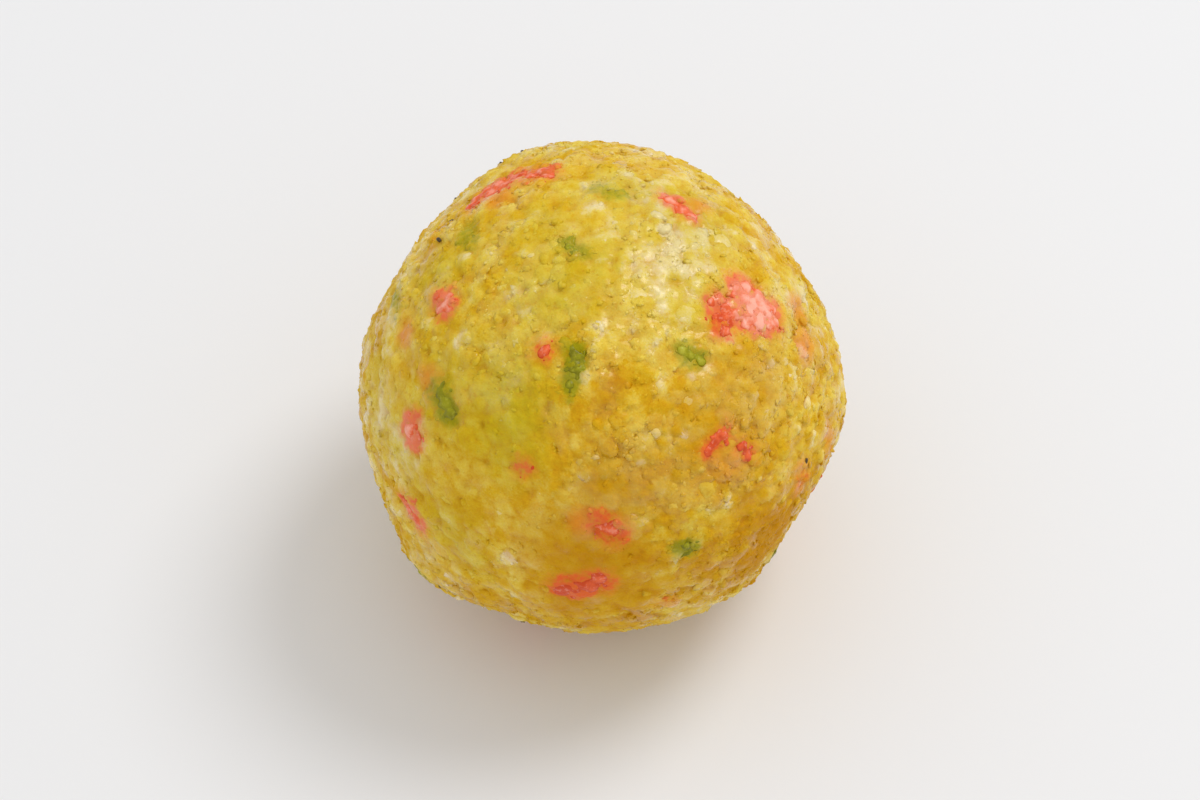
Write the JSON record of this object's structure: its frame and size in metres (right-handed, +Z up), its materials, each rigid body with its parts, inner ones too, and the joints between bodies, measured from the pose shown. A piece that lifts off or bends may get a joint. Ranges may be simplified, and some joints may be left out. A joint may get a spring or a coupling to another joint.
{
  "type": "boondi ladoo",
  "caption": "Round sweet of small fried gram-flour drops, yellow with some red and green, pressed by hand into a slightly uneven ball.",
  "frame": {"origin": "on the flat spot that the ladoo stands on, under the middle of the ball, at the bottom centre of its box", "axes": "+Z up, the way the ball is lowest, +X to the right of its best side, the way it is longest, +Y away from that side"},
  "size_m": [0.0502, 0.05, 0.0486],
  "materials": {
    "boondi_yellow": "moist fried gram-flour drops under a thin sugar syrup: golden yellow with paler and olive patches, soft crumb, fine sugary glints",
    "boondi_red": "coloured drops, glossy with syrup, coral red with paler pink glints and an orange stain round them",
    "boondi_green": "coloured drops, moist, olive to leaf green",
    "cardamom_seed": "crushed seed, dull near-black brown"
  },
  "bodies": {
    "root": {"ladoo": "boondi_yellow"}
  },
  "joints": []
}
